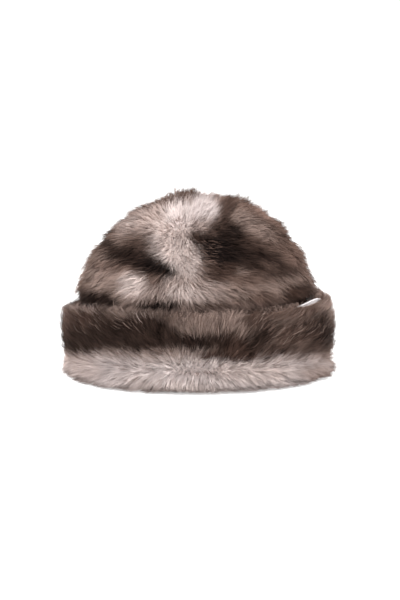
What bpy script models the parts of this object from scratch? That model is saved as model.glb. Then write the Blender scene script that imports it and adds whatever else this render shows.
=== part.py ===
"""A shearling hat that stands on its lower edge: a domed crown of four gores inside a turned-up cuff.

Metres, +Z up, with the front of the hat towards -Y. Each piece of shearling is cut flat, in units of its own
cells, where it gets its thickness and its locks of pile. It is then bent to its place on the hat. Azimuths are
degrees round the hat, with 0 at the front and 90 at its right in the front view.
"""

import math
import random
from bisect import bisect
from collections import namedtuple

import bmesh
import bpy
from mathutils import Matrix, Vector

# The head that the hat is made for, inside the hide
HEAD_WIDTH = 0.180
HEAD_DEPTH = 0.190

# The hide, and the room that two pieces keep
HIDE = 0.0018
CLEARANCE = 0.0003

# The crown: heights are over the floor, to the outer face of its hide
SPRING_HEIGHT = 0.070
CROWN_HEIGHT = 0.147
DOME_ROUNDNESS = 1.9
CROWN_PILE = 0.0155
PILE_BEHIND_CUFF = 0.008
PILE_RISE = 0.016
CROWN_PILE_START = 0.030

# The cuff: its height is that of its hide at the front
CUFF_HEIGHT = 0.061
CUFF_PILE = 0.0215
RIM_PILE = 0.0045
STAND_OFF = 0.011
FOLD_RADIUS = 0.005
PILE_UNDER_FOLD = 0.0027

# The cells of the flat pieces, each of which can carry a lock
QUARTER_COLUMNS = 10
ROWS_BEHIND_CUFF = 2
DOME_ROWS = 9
FOOT_ROWS = 1
FOLD_ROWS = 2
WALL_ROWS = 5

# The locks: widths, heights and leans are shares of the cell and of the lock
SHOULDER_WIDTH = 0.76
SHOULDER_HEIGHT = 0.50
SHOULDER_LEAN = 0.35
LOCK_LEAN = 0.75
LOCK_SWAY = 0.30
SHORTEST_LOCK = 0.70
SEAM_MARGIN = 0.35
UNDERCOAT = 0.60

# The comb of the cuff's pile, in cells: out to both sides, up at its rim and down at its fold
CUFF_FAN = 0.6
RIM_LEAN = 1.0
FOLD_LEAN = -0.5
PARTING = 0.4

# Where the pile of the crown parts, as shares of the crown's half width, half depth and height
WHORL = (-0.16, -0.52, 0.93)

# The rim of the cuff all the way round, as shares of CUFF_HEIGHT and of STAND_OFF
RimRow = namedtuple("RimRow", "azimuth height stand_off")
RIM = (
    RimRow(0, 1.00, 0.36),
    RimRow(45, 1.03, 0.64),
    RimRow(90, 1.08, 1.00),
    RimRow(135, 1.12, 0.82),
    RimRow(180, 1.09, 0.45),
    RimRow(225, 1.02, 0.27),
    RimRow(270, 0.92, 0.27),
    RimRow(315, 0.96, 0.27),
)

# How far the pile of the cuff stands out up its wall, as shares of CUFF_PILE, and how much of that is undercoat
CuffRow = namedtuple("CuffRow", "height pile undercoat")
CUFF_SHAPE = (
    CuffRow(0.00, 0.84, 0.80),
    CuffRow(0.20, 0.98, 0.62),
    CuffRow(0.55, 1.00, 0.60),
    CuffRow(0.85, 0.93, 0.60),
    CuffRow(1.00, 0.80, 0.62),
)

# Soft hollows in the crown: places as azimuth and share of its height, depths as shares of CROWN_PILE
Hollow = namedtuple("Hollow", "azimuth height width tallness depth")
HOLLOWS = (
    Hollow(-38, 0.62, 30, 0.10, 0.20),
    Hollow(30, 0.60, 34, 0.10, 0.24),
    Hollow(158, 0.66, 40, 0.12, 0.18),
    Hollow(-6, 0.88, 16, 0.12, 0.10),
)

# The cut pieces: the azimuth where each starts, and the side across and back that it lies on
Piece = namedtuple("Piece", "name start sides")
QUARTERS = (
    Piece("front_left", 270, (-1, -1)),
    Piece("front_right", 0, (1, -1)),
    Piece("back_right", 90, (1, 1)),
    Piece("back_left", 180, (-1, 1)),
)
HALVES = (
    Piece("front", 270, (0, -1)),
    Piece("back", 90, (0, 1)),
)

SUEDE = (0.74, 0.69, 0.66)
SUEDE_ROUGHNESS = 0.9
PILE_ROUGHNESS = 0.95
CROWN_COLOURS = {
    "front_left": (0.36, 0.29, 0.26),
    "front_right": (0.11, 0.075, 0.06),
    "back_right": (0.12, 0.085, 0.07),
    "back_left": (0.20, 0.15, 0.13),
}
CUFF_COLOURS = {"front": (0.22, 0.175, 0.16), "back": (0.16, 0.12, 0.105)}

HALF_WIDTH = HEAD_WIDTH / 2 + HIDE
HALF_DEPTH = HEAD_DEPTH / 2 + HIDE
FOOT_BOTTOM = PILE_UNDER_FOLD + CLEARANCE
CROWN_BOTTOM = FOOT_BOTTOM + HIDE + CLEARANCE
WALL_OUT = HIDE + PILE_BEHIND_CUFF + 2 * CLEARANCE + HIDE
FOLD_TOP = FOOT_BOTTOM + FOLD_RADIUS
CROWN_ROWS = ROWS_BEHIND_CUFF + DOME_ROWS
CUFF_WALL_ROW = FOOT_ROWS + FOLD_ROWS
CUFF_ROWS = CUFF_WALL_ROW + WALL_ROWS

SECTION_STEPS = 240
SMALL_TURN = 0.05
SMALL_STEP = 0.0001
MERGE = 0.000002
SMOOTH_ANGLE = math.radians(50)


def eased(share):
    """A share between 0 and 1 that starts and ends gently."""
    held = min(max(share, 0.0), 1.0)
    return held * held * (3 - 2 * held)


def between(low, high, share):
    return low + (high - low) * share


def around_rim(azimuth, column):
    """A column of RIM at any azimuth."""
    turn = azimuth % 360
    rows = RIM + (RIM[0]._replace(azimuth=360),)
    low, high = next(pair for pair in zip(rows, rows[1:]) if turn <= pair[1].azimuth)
    share = (turn - low.azimuth) / (high.azimuth - low.azimuth)
    return between(getattr(low, column), getattr(high, column), eased(share))


def up_cuff(height, column):
    """A column of CUFF_SHAPE at any share of the wall's height."""
    held = min(max(height, 0.0), 1.0)
    low, high = next(pair for pair in zip(CUFF_SHAPE, CUFF_SHAPE[1:]) if held <= pair[1].height)
    share = (held - low.height) / (high.height - low.height)
    return between(getattr(low, column), getattr(high, column), share)


def rim_height(azimuth):
    return CUFF_HEIGHT * around_rim(azimuth, "height")


def crown_section():
    """Half of the crown's section: (length along it, share of the half width, height), from its edge to its top."""
    places = [(1.0, CROWN_BOTTOM)]
    for step in range(SECTION_STEPS + 1):
        angle = math.pi / 2 * step / SECTION_STEPS
        wide = max(math.cos(angle), 0.0) ** (2 / DOME_ROUNDNESS)
        high = math.sin(angle) ** (2 / DOME_ROUNDNESS)
        places.append((wide, between(SPRING_HEIGHT, CROWN_HEIGHT, high)))
    section = [(0.0, *places[0])]
    for low, high in zip(places, places[1:]):
        step = math.hypot((high[0] - low[0]) * HALF_WIDTH, high[1] - low[1])
        section.append((section[-1][0] + step, *high))
    return section


SECTION = crown_section()
SECTION_LENGTHS = [place[0] for place in SECTION]
SECTION_LENGTH = SECTION_LENGTHS[-1]


def on_section(length):
    """The share of the half width and the height at a length along the crown's section."""
    held = min(max(length, 0.0), SECTION_LENGTH)
    after = min(bisect(SECTION_LENGTHS, held), len(SECTION) - 1)
    low, high = SECTION[after - 1], SECTION[after]
    share = (held - low[0]) / (high[0] - low[0])
    return between(low[1], high[1], share), between(low[2], high[2], share)


def hollow_depth(azimuth, height):
    """How far the hollows take the crown inwards."""
    depth = 0.0
    for hollow in HOLLOWS:
        turn = (azimuth - hollow.azimuth + 180) % 360 - 180
        rise = height / CROWN_HEIGHT - hollow.height
        depth += hollow.depth * math.exp(-((turn / hollow.width) ** 2) - (rise / hollow.tallness) ** 2)
    return CROWN_PILE * depth


def crown_face(azimuth, length):
    """A point on the outer face of the crown's hide."""
    wide, height = on_section(length)
    inwards = hollow_depth(azimuth, height)
    angle = math.radians(azimuth)
    across = (HALF_WIDTH - inwards) * wide * math.sin(angle)
    back = -(HALF_DEPTH - inwards) * wide * math.cos(angle)
    return Vector((across, back, height))


def crown_row_length(azimuth, row):
    """The length along the section at a row: the first rows end at the cuff's rim, and the rest share the dome."""
    to_start = CROWN_PILE_START - CROWN_BOTTOM
    to_rim = rim_height(azimuth) - CROWN_BOTTOM
    if row <= 1:
        return to_start * row
    if row <= ROWS_BEHIND_CUFF:
        return between(to_start, to_rim, (row - 1) / (ROWS_BEHIND_CUFF - 1))
    return between(to_rim, SECTION_LENGTH, (row - ROWS_BEHIND_CUFF) / DOME_ROWS)


def on_crown(azimuth, length, out):
    """A point this far out from the face of the crown's hide."""
    here = crown_face(azimuth, length)
    along = crown_face(azimuth + SMALL_TURN, length) - crown_face(azimuth - SMALL_TURN, length)
    upwards = crown_face(azimuth, length + SMALL_STEP) - crown_face(azimuth, length - SMALL_STEP)
    outwards = along.cross(upwards)
    at_top = SECTION_LENGTH - length < SMALL_STEP
    return here + (Vector((0, 0, 1)) if at_top else outwards.normalized()) * out


def crown_pile(azimuth, length):
    """The length of the crown's pile, pressed down behind the cuff and free a little above it."""
    over_rim = length - crown_row_length(azimuth, ROWS_BEHIND_CUFF)
    return between(PILE_BEHIND_CUFF, CROWN_PILE, eased(over_rim / PILE_RISE))


def seam_gap(sides):
    """The small move that keeps a piece off the next ones: -1, 0 or 1 for each of its sides across and back."""
    return Vector((*sides, 0)) * CLEARANCE / 2


def place_on_gore(cut):
    """The function that bends a flat gore of hide: its height runs from 0, inside, to 1, outside."""
    gap = seam_gap(cut.sides)

    def place(column, row, height):
        azimuth = cut.start + 90 * column / QUARTER_COLUMNS
        return on_crown(azimuth, crown_row_length(azimuth, row), HIDE * (height - 1)) + gap

    return place


def place_on_gore_pile(cut):
    """The function that bends a flat gore of pile: 0 is its root, 1 its undercoat and 2 the tips of its locks."""
    gap = seam_gap(cut.sides)

    def place(column, row, height):
        azimuth = cut.start + 90 * column / QUARTER_COLUMNS
        length = crown_row_length(azimuth, row)
        share = height * UNDERCOAT if height <= 1 else between(UNDERCOAT, 1.0, height - 1)
        if row <= ROWS_BEHIND_CUFF and height == 1:
            share = 1.0
        return on_crown(azimuth, length, between(CLEARANCE, crown_pile(azimuth, length), share)) + gap

    return place


def ring_point(azimuth, out, height):
    """A point this far out from the head at a height."""
    angle = math.radians(azimuth)
    across = (HEAD_WIDTH / 2 + out) * math.sin(angle)
    return Vector((across, -(HEAD_DEPTH / 2 + out) * math.cos(angle), height))


def cuff_face(azimuth, row):
    """The outer face of the cuff's hide in section: how far out, how high, and which way it faces."""
    lean = STAND_OFF * around_rim(azimuth, "stand_off")
    rise = rim_height(azimuth) - FOLD_TOP
    if row <= FOOT_ROWS:
        return (WALL_OUT - FOLD_RADIUS) * row / FOOT_ROWS, FOOT_BOTTOM, 0.0
    wall_angle = math.pi / 2 + math.atan2(lean, rise)
    if row <= CUFF_WALL_ROW:
        angle = (row - FOOT_ROWS) / FOLD_ROWS * math.pi / 2
        out = WALL_OUT - FOLD_RADIUS + FOLD_RADIUS * math.sin(angle)
        facing = angle if row < CUFF_WALL_ROW else wall_angle
        return out, FOLD_TOP - FOLD_RADIUS * math.cos(angle), facing
    share = (row - CUFF_WALL_ROW) / WALL_ROWS
    return WALL_OUT + lean * share, FOLD_TOP + rise * share, wall_angle


def cuff_hide_point(azimuth, row, out):
    """A point this far out from the face of the cuff's hide."""
    face_out, height, facing = cuff_face(azimuth, row)
    return ring_point(azimuth, face_out + out * math.sin(facing), height - out * math.cos(facing))


def cuff_pile_point(azimuth, row):
    """The outside of the cuff's pile: flat on the floor, round at the fold and plumb up the wall."""
    if row <= FOOT_ROWS:
        return ring_point(azimuth, cuff_face(azimuth, row)[0], 0.0)
    flat_out = WALL_OUT - FOLD_RADIUS
    wall_share = (row - CUFF_WALL_ROW) / WALL_ROWS
    pile_out = WALL_OUT + CUFF_PILE * up_cuff(wall_share, "pile")
    if row <= CUFF_WALL_ROW:
        angle = (row - FOOT_ROWS) / FOLD_ROWS * math.pi / 2
        return ring_point(azimuth, between(flat_out, pile_out, math.sin(angle)), FOLD_TOP * (1 - math.cos(angle)))
    top = rim_height(azimuth) + RIM_PILE
    return ring_point(azimuth, pile_out, between(FOLD_TOP, top, wall_share))


def place_on_cuff(cut):
    """The function that bends half of the cuff's hide."""
    gap = seam_gap(cut.sides)

    def place(column, row, height):
        azimuth = cut.start + 90 * column / QUARTER_COLUMNS
        return cuff_hide_point(azimuth, row, HIDE * (height - 1)) + gap

    return place


def place_on_cuff_pile(cut):
    """The function that bends half of the cuff's pile, which is all undercoat under the fold."""
    gap = seam_gap(cut.sides)

    def place(column, row, height):
        azimuth = cut.start + 90 * column / QUARTER_COLUMNS
        undercoat = up_cuff((row - CUFF_WALL_ROW) / WALL_ROWS, "undercoat") if row >= CUFF_WALL_ROW else 1.0
        share = height * undercoat if height <= 1 else between(undercoat, 1.0, height - 1)
        root = cuff_hide_point(azimuth, row, CLEARANCE)
        return root.lerp(cuff_pile_point(azimuth, row), share) + gap

    return place


def cut_flat(columns, first_row, last_row):
    """A flat piece, one cell to a unit."""
    piece = bmesh.new()
    rows = last_row - first_row
    middle = Matrix.Translation((columns / 2, (first_row + last_row) / 2, 0))
    place = middle @ Matrix.Diagonal((columns, rows, 1, 1))
    bmesh.ops.create_grid(piece, x_segments=columns, y_segments=rows, size=0.5, matrix=place)
    return piece


def widen_top_cells(piece):
    """Joins the narrow cells of a gore towards its point: two to a cell, and four in the last row."""
    spare = []
    for edge in piece.edges:
        low, high = edge.verts
        middle = (low.co + high.co) / 2
        upright = abs(low.co.x - high.co.x) < 0.5
        inside = 0.5 < middle.x < QUARTER_COLUMNS - 0.5
        if not upright or not inside or middle.y < CROWN_ROWS - 3:
            continue
        kept_every = 2 if middle.y < CROWN_ROWS - 1 else QUARTER_COLUMNS // 2
        if round(middle.x) % kept_every:
            spare.append(edge)
    bmesh.ops.dissolve_edges(piece, edges=spare, use_verts=False)


def thicken(piece):
    """Gives a flat piece its thickness, and returns its outer faces."""
    raised = bmesh.ops.extrude_face_region(piece, geom=piece.faces[:])["geom"]
    corners = [item for item in raised if isinstance(item, bmesh.types.BMVert)]
    bmesh.ops.translate(piece, verts=corners, vec=(0, 0, 1))
    return [face for face in piece.faces if min(corner.co.z for corner in face.verts) > 0.5]


def raise_locks(piece, cells, columns, comb, seed):
    """Makes each of these cells a lock: a shoulder, and a tip that leans the way that the pile is combed."""
    chance = random.Random(seed)
    for cell in bmesh.ops.extrude_discrete_faces(piece, faces=cells)["faces"]:
        middle = cell.calc_center_median()
        across, upwards = comb(middle.x, middle.y)
        height = chance.uniform(SHORTEST_LOCK, 1.0)
        sway = Vector((chance.uniform(-1, 1), chance.uniform(-1, 1), 0)) * LOCK_SWAY
        lean = (Vector((across, upwards, 0)) * LOCK_LEAN + sway) * height
        for corner in cell.verts:
            corner.co = middle + (corner.co - middle) * SHOULDER_WIDTH + lean * SHOULDER_LEAN
            corner.co.x = min(max(corner.co.x, 0.0), columns)
            corner.co.z = 1 + height * SHOULDER_HEIGHT
        for tip in bmesh.ops.poke(piece, faces=[cell])["verts"]:
            tip.co = middle + lean
            tip.co.x = min(max(tip.co.x, SEAM_MARGIN), columns - SEAM_MARGIN)
            tip.co.z = 1 + height


def crown_comb(cut):
    """The way that the pile of a gore lies, in cells: away from the whorl on all sides."""
    whorl = Vector((WHORL[0] * HALF_WIDTH, WHORL[1] * HALF_DEPTH, WHORL[2] * CROWN_HEIGHT))

    def comb(column, row):
        azimuth = cut.start + 90 * column / QUARTER_COLUMNS
        length = crown_row_length(azimuth, row)
        away = crown_face(azimuth, length) - whorl
        along = crown_face(azimuth + 1, length) - crown_face(azimuth - 1, length)
        upwards = crown_face(azimuth, length + SMALL_STEP) - crown_face(azimuth, length - SMALL_STEP)
        across = away.dot(along.normalized())
        rise = away.dot(upwards.normalized())
        reach = max(math.hypot(across, rise), SMALL_STEP)
        return across / reach, rise / reach

    return comb


def cuff_comb(cut):
    """The way that the pile of the cuff lies, in cells: upwards, fanned to both sides, and down along the fold."""

    def comb(column, row):
        azimuth = math.radians(cut.start + 90 * column / QUARTER_COLUMNS)
        share = (row - CUFF_WALL_ROW) / WALL_ROWS
        return CUFF_FAN * math.sin(azimuth), between(FOLD_LEAN, RIM_LEAN, eased(share / PARTING))

    return comb


def bend(piece, place):
    """Takes each corner of a flat piece to its place on the hat."""
    for corner in piece.verts:
        corner.co = place(*corner.co)
    bmesh.ops.remove_doubles(piece, verts=piece.verts, dist=MERGE)
    bmesh.ops.recalc_face_normals(piece, faces=piece.faces)


def finish(piece, name, colour, roughness, hat):
    """Makes the piece an object of the hat with a material of its own."""
    mesh = bpy.data.meshes.new(name)
    piece.to_mesh(mesh)
    piece.free()
    mesh.shade_smooth()
    mesh.set_sharp_from_angle(angle=SMOOTH_ANGLE)
    surface = bpy.data.materials.new(name)
    surface.use_nodes = True
    shader = surface.node_tree.nodes["Principled BSDF"]
    shader.inputs["Base Color"].default_value = (*colour, 1.0)
    shader.inputs["Roughness"].default_value = roughness
    shader.inputs["Metallic"].default_value = 0.0
    mesh.materials.append(surface)
    made = bpy.data.objects.new(name, mesh)
    made.parent = hat
    bpy.context.collection.objects.link(made)


def make_crown(hat):
    for seed, cut in enumerate(QUARTERS):
        hide = cut_flat(QUARTER_COLUMNS, 0, CROWN_ROWS)
        widen_top_cells(hide)
        thicken(hide)
        bend(hide, place_on_gore(cut))
        finish(hide, f"crown_hide_{cut.name}", SUEDE, SUEDE_ROUGHNESS, hat)
        pile = cut_flat(QUARTER_COLUMNS, 1, CROWN_ROWS)
        widen_top_cells(pile)
        outside = thicken(pile)
        free = [face for face in outside if face.calc_center_median().y > ROWS_BEHIND_CUFF]
        raise_locks(pile, free, QUARTER_COLUMNS, crown_comb(cut), seed)
        bend(pile, place_on_gore_pile(cut))
        finish(pile, f"crown_fur_{cut.name}", CROWN_COLOURS[cut.name], PILE_ROUGHNESS, hat)


def make_cuff(hat):
    columns = 2 * QUARTER_COLUMNS
    for seed, cut in enumerate(HALVES, start=len(QUARTERS)):
        hide = cut_flat(columns, 0, CUFF_ROWS)
        thicken(hide)
        bend(hide, place_on_cuff(cut))
        finish(hide, f"cuff_hide_{cut.name}", SUEDE, SUEDE_ROUGHNESS, hat)
        pile = cut_flat(columns, 0, CUFF_ROWS)
        outside = thicken(pile)
        wall = [face for face in outside if face.calc_center_median().y > CUFF_WALL_ROW]
        raise_locks(pile, wall, columns, cuff_comb(cut), seed)
        bend(pile, place_on_cuff_pile(cut))
        finish(pile, f"cuff_fur_{cut.name}", CUFF_COLOURS[cut.name], PILE_ROUGHNESS, hat)


def main():
    for old in list(bpy.data.objects):
        bpy.data.objects.remove(old)
    hat = bpy.data.objects.new("shearling_hat", None)
    bpy.context.collection.objects.link(hat)
    make_crown(hat)
    make_cuff(hat)


main()
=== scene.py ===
"""The looks of the shearling hat: its suede, its undercoat and its pile, with a floor, lights and a camera.

Metres, in the frame of the CAD. Azimuths are degrees round the hat: 0 at the front, 90 at its right in the
front view. Pixels are those of the photograph, 400 wide and 600 high, counted from its top left corner.
"""

import math
from collections import namedtuple

import bmesh
import bpy
import numpy as np
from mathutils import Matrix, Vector
from mathutils.kdtree import KDTree


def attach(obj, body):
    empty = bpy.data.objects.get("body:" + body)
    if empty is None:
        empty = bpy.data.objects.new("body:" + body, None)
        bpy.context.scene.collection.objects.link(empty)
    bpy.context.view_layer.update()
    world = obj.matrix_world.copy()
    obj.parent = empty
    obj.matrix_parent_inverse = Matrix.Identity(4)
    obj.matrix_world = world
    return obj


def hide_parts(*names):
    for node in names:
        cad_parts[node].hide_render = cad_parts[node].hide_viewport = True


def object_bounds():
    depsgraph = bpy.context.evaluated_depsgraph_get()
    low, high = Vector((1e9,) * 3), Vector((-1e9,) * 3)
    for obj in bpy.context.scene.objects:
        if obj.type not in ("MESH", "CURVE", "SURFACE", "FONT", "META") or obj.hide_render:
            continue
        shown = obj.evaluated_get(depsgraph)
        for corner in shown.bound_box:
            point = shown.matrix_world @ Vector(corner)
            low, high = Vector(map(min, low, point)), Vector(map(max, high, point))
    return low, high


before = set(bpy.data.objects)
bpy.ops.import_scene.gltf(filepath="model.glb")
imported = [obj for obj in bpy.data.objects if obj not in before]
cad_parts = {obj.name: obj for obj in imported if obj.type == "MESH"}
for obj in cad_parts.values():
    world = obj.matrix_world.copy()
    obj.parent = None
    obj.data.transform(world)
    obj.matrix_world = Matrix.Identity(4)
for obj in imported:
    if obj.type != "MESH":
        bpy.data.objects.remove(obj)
cad_low, cad_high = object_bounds()

# The photograph and the camera that took it
PHOTO_WIDTH = 400
PHOTO_HEIGHT = 600
CAMERA_AT = (0.0024, -1.083, 0.195)
CAMERA_AIM = (0.0024, 0.0, 0.061)
LENS = 72.9
SENSOR = 36.0

# The studio
FLOOR_SIZE = 40.0
FLOOR_DROP = 0.0002
LAMPS_AIM = (0, 0, 0.08)

# The cut pieces of the CAD
QUARTERS = ("front_right", "back_right", "back_left", "front_left")
HALVES = ("front", "back")
SEAM_REACH = 0.0006
SAME_POINT = 0.00001
JOINED_TILT = 40
JOINED_SKEW = 70
SMOOTH_LEVELS = 2
CUT_EDGE_ANGLE = 50
CUT_EDGE_CREASE = 0.9
CROWN_MIDDLE = (0, 0, 0.05)
CROWN_OUTWARDS = 0.6
CUFF_OUTWARDS = 0.3
RIM_WINDOW = 3
RIM_BLUR = 9
TINY = 1e-6

# Smooth random fields
DRIFT_WAVES = 20
DRIFT_SPREAD = (0.6, 1.5)

# The pile, in metres
CROWN_PILE_AT = (0.060, 0.074, 0.080, 0.086, 0.091, 0.097, 0.102, 0.108, 0.118, 0.130, 0.141, 0.148, 0.162)
CROWN_PILE_LEFT = (
    0.0155, 0.0150, 0.0134, 0.0126, 0.0120, 0.0112, 0.0098, 0.0082, 0.0096, 0.0102, 0.0088, 0.0096, 0.0114
)
CROWN_PILE_RIGHT = (
    0.0165, 0.0160, 0.0104, 0.0090, 0.0106, 0.0132, 0.0108, 0.0074, 0.0106, 0.0112, 0.0126, 0.0044, 0.0074
)
TOP_TUFT = 0.0056
TOP_TUFT_AT = (-0.006, -0.008)
TOP_TUFT_WIDTH = 0.018
PRESSED_PILE = 0.0115
PRESSED_PILE_AT_GAP = 0.0055
OPEN_GAP_AZIMUTH = 75
OPEN_GAP_WIDTH = 40
OPEN_GAP_SOFT = 25
PILE_RISE = 0.014
PILE_RISE_AT_GAP = 0.0045
CROWN_REACH = 0.0100
SOWN_UNDER_RIM = 0.018
SOWN_SOFT = 0.004
CUFF_ENVELOPE = 0.0302
CUFF_REACH = 0.0120
CUFF_SHORTEST = 0.0075
CUFF_PROFILE_AT = (0.0, 0.1, 0.4, 0.6)
CUFF_PROFILE = (0.97, 1.02, 1.02, 1.0)
RIM_THIN_FROM = 0.62
RIM_THIN_POWER = 1.2
UNDER_FOLD_FROM = 0.75
UNDER_FOLD_SOFT = 0.2
SHORTEST_UNDER = 0.0005
FOLD_SOWN = 0.15
FOLD_SOWN_FROM = -0.9
FOLD_SOWN_SOFT = 0.3
LEVEL_FROM = 0.05
LEVEL_SOFT = 0.5
HELD_FROM = 0.3
RIM_ZONE = 0.009
CUFF_WALL_AT = (0, 25, 45, 75, 90, 110, 180, 250, 270, 285, 315, 340, 360)
CUFF_WALL = (
    0.0302, 0.0302, 0.0302, 0.0304, 0.0298, 0.0290, 0.0280, 0.0268, 0.0256, 0.0272, 0.0332, 0.0325, 0.0302
)
CUFF_PAST_WALL = 0.0045
WALL_TUFTS = 0.0013
WALL_UNEVEN = 0.0006
WALL_LOCKS = 0.013
LOOSE_SHARE = 0.10
LOOSE_TIPS = 0.0040
RIM_TUFTS = 0.0009
RIM_UNEVEN = 0.0014
RIM_SPREAD = 0.005
LEAST_ROOM = 0.05
TUCK_SPREAD = (0.3, 1.2)
ROLLED_FROM = 0.3
ROLL_DEPTHS = (0.5, 1.3)
ROLL_HEIGHTS = (0.2, 1.7)
ROLL_TUFTS = 0.0014
ROLL_STRAY = 0.009
FOOT_AT = (0, 30, 55, 85, 110, 250, 270, 285, 305, 330, 360)
FOOT = (0.007, 0.006, 0.007, 0.003, 0.002, 0.001, -0.003, -0.001, 0.006, 0.008, 0.007)
FOOT_SPREAD = 0.005
FOOT_POWER = 1.2
LOW_ZONE = 0.020
LOW_SOFT = 0.6
GOAL_SPREAD = 0.0018
GOAL_SLOPE = 0.08
LOWEST_SPREAD = 0.0015
HEAD_WIDTH = 0.180
HEAD_DEPTH = 0.190
FLOOR_CLEAR = 0.0003

# How high the cuff's cut edge stands out of its pile
LIP_AT = (44, 50, 56, 62, 68, 73, 78)
LIP = (0.0, 0.0014, 0.0025, 0.0033, 0.0033, 0.0016, 0.0)
LIP_ZONE = 0.006

# How much of the pile is undercoat
CROWN_UNDERCOAT = 0.45
CUFF_UNDERCOAT = 0.50
FULL_SHARE = 0.97
FULL_UNDER = 0.014
UNDERCOAT_CLEAR = 0.0020
TONE_ABOVE = 0.006
# The undercoat's tone is darkened as painted shade between the hairs, most where that tone is dark
UNDERCOAT_PAINTED_SHADE_LOW = 0.5
UNDERCOAT_PAINTED_SHADE_RISE = 0.6

# Numbers of hairs, and how thinly the back is sown
CROWN_GUARDS = 34000
CROWN_DOWNS = 78000
CUFF_GUARDS = 36000
CUFF_DOWNS = 84000
BACK_SHARE = 0.74
THIN_FROM = -0.4
THIN_SOFT = 0.5

# The kinds of hair: their places along their length, their width there, and how they differ from each other
Hair = namedtuple("Hair", "name steps taper width height reach uneven stray mottle tipped")
GUARD = Hair(
    name="guard",
    steps=np.array((0.30, 0.56, 0.80, 1.0)),
    taper=np.array((0.9, 1.0, 0.75, 0.0)),
    width=0.00028,
    height=1.02,
    reach=1.15,
    uneven=0.17,
    stray=0.16,
    mottle=0.14,
    tipped=0.20,
)
DOWN = Hair(
    name="down",
    steps=np.array((0.34, 0.70, 1.0)),
    taper=np.array((1.0, 0.9, 0.0)),
    width=0.00026,
    height=0.90,
    reach=0.95,
    uneven=0.08,
    stray=0.10,
    mottle=0.08,
    tipped=0.05,
)
MOST_ROLL = 70
WIDTH_SPREAD = (0.7, 1.3)
SKIN_NORMAL = 0.7
LOCK_SPACING = 0.0038
CLUMP_SPACING = 0.0115
LOCK_PULL = 0.28
LOCK_UNEVEN = 0.12
LOCK_LIMITS = (0.75, 1.3)
LOCK_TONES = 0.06
CLUMP_PULL = 0.07
CLUMP_TONES = 0.03
LOCK_BULGE = 0.14
CLUMP_BULGE = 0.16
DOWN_PULL = 0.35
DOWN_PULL_SPREAD = (0.6, 1.15)
GRIP_POWER = 1.4
# Painted shade at the roots of dark hairs, and painted light at the roots of pale ones
PAINTED_ROOT_SHADE_ON_DARK = 0.60
PAINTED_ROOT_LIGHT_ON_PALE = 1.12
ROOT_POWER = 0.6
BRIGHT_TONE = 0.4
FEWER_TIPPED = 0.6
LED_TONE = 0.6
GUARD_MOTTLE_LIMITS = (0.5, 1.7)
DOWN_MOTTLE_LIMITS = (0.6, 1.5)

# How hairs grow: their turns, reach and height, and the slow waves along them
COMBED_HEIGHT = 0.6
WIDE_TURN = 0.32
FINE_TURN = 0.22
REACH_SWAY = 0.15
REACH_UNEVEN = 0.18
REACH_LIMITS = (0.5, 1.6)
LOOKED_AHEAD = 0.8
MOST_AHEAD = 1.15
HEIGHT_SWAY = 0.10
HEIGHT_LIMITS = (0.7, 1.3)
RUN_POWER = 1.6
GOLDEN_ANGLE = 2.39996
PHASE_SPREAD = 0.5
WAVE_SIZES = (0.0001, 0.0005)
WAVE_LENGTH = 6.0

TONES = {
    "cream": (206, 194, 191),
    "pale": (200, 184, 178),
    "silver": (192, 179, 176),
    "sand": (168, 150, 143),
    "mid": (142, 122, 113),
    "brown": (110, 89, 80),
    "umber": (68, 51, 44),
    "dusk": (50, 38, 33),
    "dark": (38, 27, 23),
    "deep": (21, 13, 11),
}

# Patches of tone as the photograph shows them: a middle, half sizes and a turn in the picture, clockwise
Patch = namedtuple("Patch", "tone x y wide tall turn strength soft", defaults=(0, 1.0, 0.9))


def table(kind, *rows):
    """Rows of values as a table of this kind."""
    return tuple(kind(*row) for row in rows)


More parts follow.
